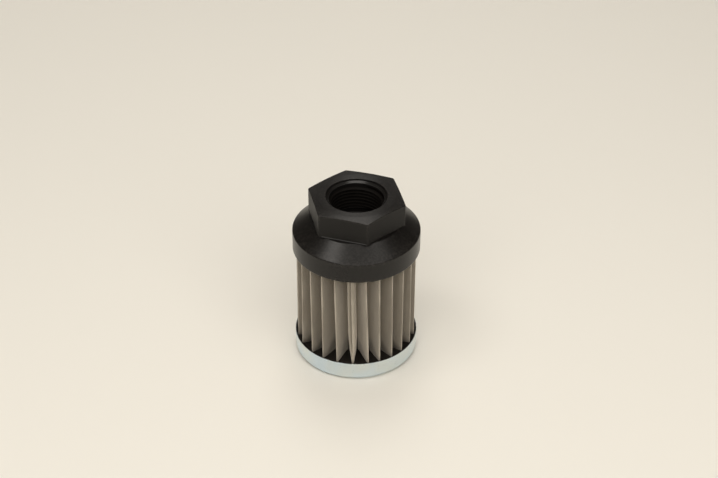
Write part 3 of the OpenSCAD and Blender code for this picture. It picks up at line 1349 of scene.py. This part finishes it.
@dataclass
class CupAssembly:
    """Pressed steel cup at the foot, with the potting in it and in the cap's channel."""

    cup_r: float
    cup_h: float
    potting_z: float
    ring_low_z: float
    ring_high_z: float
    ring_in_r: float
    ring_out_r: float
    sheet_t: float = 0.6
    corner_r: float = 2.5
    rim_t: float = 0.18
    rim_r: float = 0.08
    rim_drop: float = 0.5
    wave: float = 0.12
    long_wave: Span = (0.55, 0.47)
    long_wave_shift: float = 1.3
    short_wave: Span = (0.4, 1.1)
    short_wave_share: float = 0.5
    potting_steps: int = 160
    core_zone_r: float = 16.0
    core_zone_rows: int = 9
    pleat_zone_r: float = 17.0
    pleat_zone_rows: int = 24
    wall_zone: float = 2.0
    climb_zone: float = 1.6
    climb_zone_rows: int = 6
    wall_climb: float = 0.2
    wall_climb_reach: float = 0.4
    groove_climb: float = 0.8
    groove_outer: Span = (27.5, 20.5)
    groove_inner: Span = (17.2, 18.6)
    ring_dish: float = 0.15
    ring_in_edge: float = 0.5
    ring_out_edge: float = 0.6
    ring_creep: float = 0.2

    def build_cup(self) -> Piece:
        """Turns the cup's section, with a rounded corner and rim.

        Returns:
            The cup.
        """
        t, rim, corner = self.sheet_t, self.rim_r, self.corner_r
        outer_r, inner_r = self.cup_r, self.cup_r - t
        profile = [(0.0, 0.0)] + arc((outer_r - corner, corner), corner, -90.0, 0.0, steps=8)
        profile += arc((outer_r - rim, self.cup_h - rim), rim, 0.0, 90.0, steps=4)
        profile += arc((outer_r - self.rim_t + rim, self.cup_h - rim), rim, 90.0, 180.0, steps=4)
        profile += [(inner_r, self.cup_h - self.rim_drop)]
        profile += arc((outer_r - corner, corner), corner - t, 0.0, -90.0, steps=8) + [(0.0, t)]
        return turned_piece("zinc_cup", profile)

    def _uneven(self, x: Array, y: Array) -> Array:
        """Low waves of a cast surface.

        Args:
            x: Places along X.
            y: Places along Y.

        Returns:
            The heights.
        """
        long = np.sin(self.long_wave[0] * x + self.long_wave_shift) * np.cos(self.long_wave[1] * y)
        short = np.sin(self.short_wave[1] * y + self.short_wave[0] * x)
        return self.wave * (long + self.short_wave_share * short)

    def build_potting(self) -> Piece:
        """Builds the disc of compound in the cup, climbing a little at its wall and in the grooves.

        Returns:
            The disc.
        """
        wall_r, foot_z = self.cup_r - self.sheet_t, self.sheet_t
        corner = self.corner_r - self.sheet_t
        zones = (
            np.linspace(0.0, self.core_zone_r, self.core_zone_rows),
            np.linspace(self.pleat_zone_r, wall_r - self.wall_zone, self.pleat_zone_rows),
            np.linspace(wall_r - self.climb_zone, wall_r, self.climb_zone_rows),
        )
        radii = np.concatenate(zones)
        turn = full_turn(self.potting_steps)
        top = round_points(radii, self.potting_z, turn)
        waves = self._uneven(top[..., 0], top[..., 1]) * smooth_step(wall_r, wall_r - self.wall_zone, radii)
        climb = self.wall_climb * np.exp(-(wall_r - radii) / self.wall_climb_reach)
        groove = smooth_step(*self.groove_outer, radii) * smooth_step(*self.groove_inner, radii)
        top[..., 2] = self.potting_z + waves + climb + self.groove_climb * groove
        under = np.array(arc((wall_r - corner, foot_z + corner), corner, 0.0, -90.0) + [(0.0, foot_z)])
        base = round_points(under[:, 0], under[:, 1], turn)
        return grid_piece("cup_potting", np.concatenate([top, base], axis=1))

    def build_ring(self) -> Piece:
        """Builds the ring of compound that fills the cap's channel.

        Returns:
            The ring.
        """
        low, high, inner, outer = self.ring_low_z, self.ring_high_z, self.ring_in_r, self.ring_out_r
        dish_z = low + self.ring_dish
        profile = [(inner, high), (inner, low), (inner + self.ring_in_edge, dish_z)]
        profile += [(outer - self.ring_out_edge, dish_z), (outer, low - self.ring_creep), (outer, high)]
        return turned_piece("cap_potting", profile)

    def build(self, zinc: Material, potting: Material) -> None:
        """Builds and dresses the cup and both castings.

        Args:
            zinc: Material of the cup.
            potting: Material of the compound.
        """
        place(self.build_cup(), Slot.CUP, zinc, "bottom_cap")
        place(self.build_potting(), Slot.POTTING, potting, "bottom_potting")
        place(self.build_ring(), Slot.POTTING, potting, "top_potting")


@dataclass(frozen=True)
class SoftLamp:
    """One soft area lamp, aimed at the strainer."""

    name: str
    bearing: float
    elevation: float
    distance: float
    width: float
    height: float
    radiance: float
    tint: Colour = (1.0, 0.955, 0.89)

    def place(self, azimuth: float, aim: Vector) -> None:
        """Adds the lamp.

        Args:
            azimuth: Camera azimuth that the bearing is counted from, in degrees.
            aim: Point to aim at, in metres.
        """
        way = direction(azimuth + self.bearing, self.elevation)
        data = bpy.data.lights.new(self.name, "AREA")
        data.shape = "RECTANGLE"
        data.size, data.size_y = self.width, self.height
        data.energy = self.radiance * math.pi * self.width * self.height
        data.color = self.tint
        lamp = new_object(self.name, data)
        lamp.location = aim + way * self.distance
        lamp.rotation_euler = (-way).to_track_quat("-Z", "Y").to_euler()
        lamp.visible_camera = False


@dataclass(frozen=True)
class Studio:
    """Pale floor, soft light and a camera at the photograph's viewing angle."""

    azimuth: float = 17.24
    elevation: float = 34.94
    roll: float = 0.29
    distance: float = 0.732
    aim_height: float = 0.0628
    aim_px: Span = (356.4, 239.0)
    focal_px: float = 1521.0
    frame_px: tuple[int, int] = (718, 478)
    sensor: float = 36.0
    clip: Span = (0.01, 50.0)
    floor_half: float = 12.0
    world_colour: Colour = (1.0, 0.96, 0.90)
    sky_span: Span = (0.55, 0.85)
    sky_strength: Span = (0.06, 0.25)
    lamps: tuple[SoftLamp, ...] = (
        SoftLamp("left_key", -70.0, 62.0, 1.6, 0.5, 0.5, 4.5),
        SoftLamp("right_fill", 68.0, 62.0, 1.6, 0.56, 0.52, 1.4),
        SoftLamp("front_ceiling", 0.0, 66.0, 1.5, 0.7, 0.4, 0.2),
        SoftLamp("overhead", 180.0, 74.0, 1.5, 0.62, 1.45, 3.25),
        SoftLamp("back_panel", 180.0, 28.0, 1.2, 0.9, 0.6, 0.27),
        SoftLamp("front_fill", 4.0, 44.0, 1.0, 1.52, 0.64, 2.2),
    )

    def place_camera(self) -> None:
        """Puts the camera where the photograph was taken from."""
        turn = math.radians(self.azimuth)
        back = direction(self.azimuth, self.elevation)
        right = Vector((math.cos(turn), math.sin(turn), 0.0))
        up = back.cross(right)
        aim = Vector((0.0, 0.0, self.aim_height))
        off_x = (self.frame_px[0] / 2.0 - self.aim_px[0]) / self.focal_px
        off_y = (self.aim_px[1] - self.frame_px[1] / 2.0) / self.focal_px
        middle = aim + self.distance * (off_x * right + off_y * up)
        data = bpy.data.cameras.new("photo_view")
        data.sensor_width = self.sensor
        data.lens = self.focal_px * self.sensor / self.frame_px[0]
        data.clip_start, data.clip_end = self.clip
        camera = new_object("photo_view", data)
        camera.location = aim + back * self.distance
        level = (middle - camera.location).to_track_quat("-Z", "Y")
        tilt = Quaternion((0.0, 0.0, 1.0), math.radians(self.roll))
        camera.rotation_euler = (level @ tilt).to_euler()
        bpy.context.scene.camera = camera

    def place_floor(self, material: Material) -> None:
        """Lays the floor under the cup.

        Args:
            material: The floor's material.
        """
        half = self.floor_half
        mesh = bpy.data.meshes.new("pale_floor")
        corners = [(-half, -half, 0.0), (half, -half, 0.0), (half, half, 0.0), (-half, half, 0.0)]
        mesh.from_pydata(corners, [], [(0, 1, 2, 3)])
        mesh.materials.append(material)
        new_object("pale_floor", mesh)

    def place_light(self) -> None:
        """Adds the lamps and the even light of the room."""
        aim = Vector((0.0, 0.0, self.aim_height))
        for lamp in self.lamps:
            lamp.place(self.azimuth, aim)
        world = bpy.data.worlds.new("room")
        bpy.context.scene.world = world
        world.use_nodes = True
        sheet = NodeSheet(world.node_tree)
        rise = sheet.part(sheet.tree.nodes.new("ShaderNodeTexCoord").outputs["Generated"], "Z")
        strength = sheet.ramp(rise, *self.sky_span, *self.sky_strength)
        sheet.fill(sheet.tree.nodes["Background"], Color=self.world_colour, Strength=strength)

    def build(self, floor: Material) -> None:
        """Sets up the camera, the floor and the light.

        Args:
            floor: Material of the floor.
        """
        bpy.context.scene.view_settings.view_transform = "Standard"
        self.place_camera()
        self.place_floor(floor)
        self.place_light()
        LOG.info("studio: camera at azimuth %.1f, elevation %.1f", self.azimuth, self.elevation)


@dataclass(frozen=True)
class Extent:
    """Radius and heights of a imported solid, in millimetres."""

    radius: float
    low_z: float
    high_z: float

    @classmethod
    def of(cls, node: str) -> Extent:
        """Reads the box of a solid by its node's name."""
        low, high = (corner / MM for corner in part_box(node))
        return cls((high.x - low.x) / 2.0, low.z, high.z)


def main() -> None:
    """Builds the strainer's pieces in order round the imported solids."""
    logging.basicConfig(level=logging.INFO, format="%(name)s: %(message)s")
    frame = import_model()
    mounts = {mount["name"]: mount for mount in frame["record"]["mounts"]}
    port = mounts["suction_port"]["dims"]
    cap_box, cup_box = Extent.of("top_cap"), Extent.of("bottom_cap")
    cloth_box, core_box = Extent.of("pleated_mesh"), Extent.of("core_tube")
    potting_box, ring_box = Extent.of("bottom_potting"), Extent.of("top_potting")

    studio = Studio()
    effects = Effects()
    potting = CastPotting().material(effects)
    studio.build(PaleFloor().material(effects))

    cap = CapAssembly(
        skirt_r=cap_box.radius,
        skirt_z=cap_box.low_z,
        top_z=cap_box.high_z,
        thread_r=port["r_mm"],
        roof_z=core_box.high_z,
    )
    # Copy of the cap's finish with far less shine: painted shade on the thread inside the port.
    shaded_thread_finish = BlackPolymer(name="thread_polymer", specular=0.045)
    cap.build(BlackPolymer().material(effects), shaded_thread_finish.material(effects))

    pack = FilterPack(
        tip_r=cloth_box.radius,
        core_r=core_box.radius,
        low_z=cloth_box.low_z,
        high_z=cloth_box.high_z,
        camera_azimuth=studio.azimuth,
    )
    core_finish = ZincPlate(name=Slot.CORE.value, cool=(0.55, 0.57, 0.58), warm=(0.60, 0.60, 0.57))
    core = frame["nodes"]["core_tube"]
    pack.build(WireCloth().material(effects), core_finish.material(effects), core)

    cup = CupAssembly(
        cup_r=cup_box.radius,
        cup_h=cup_box.high_z,
        potting_z=potting_box.high_z,
        ring_low_z=ring_box.low_z,
        ring_high_z=ring_box.high_z,
        ring_in_r=core_box.radius,
        ring_out_r=ring_box.radius,
    )
    cup.build(ZincPlate().material(effects), potting)


if __name__ == "__main__":
    main()
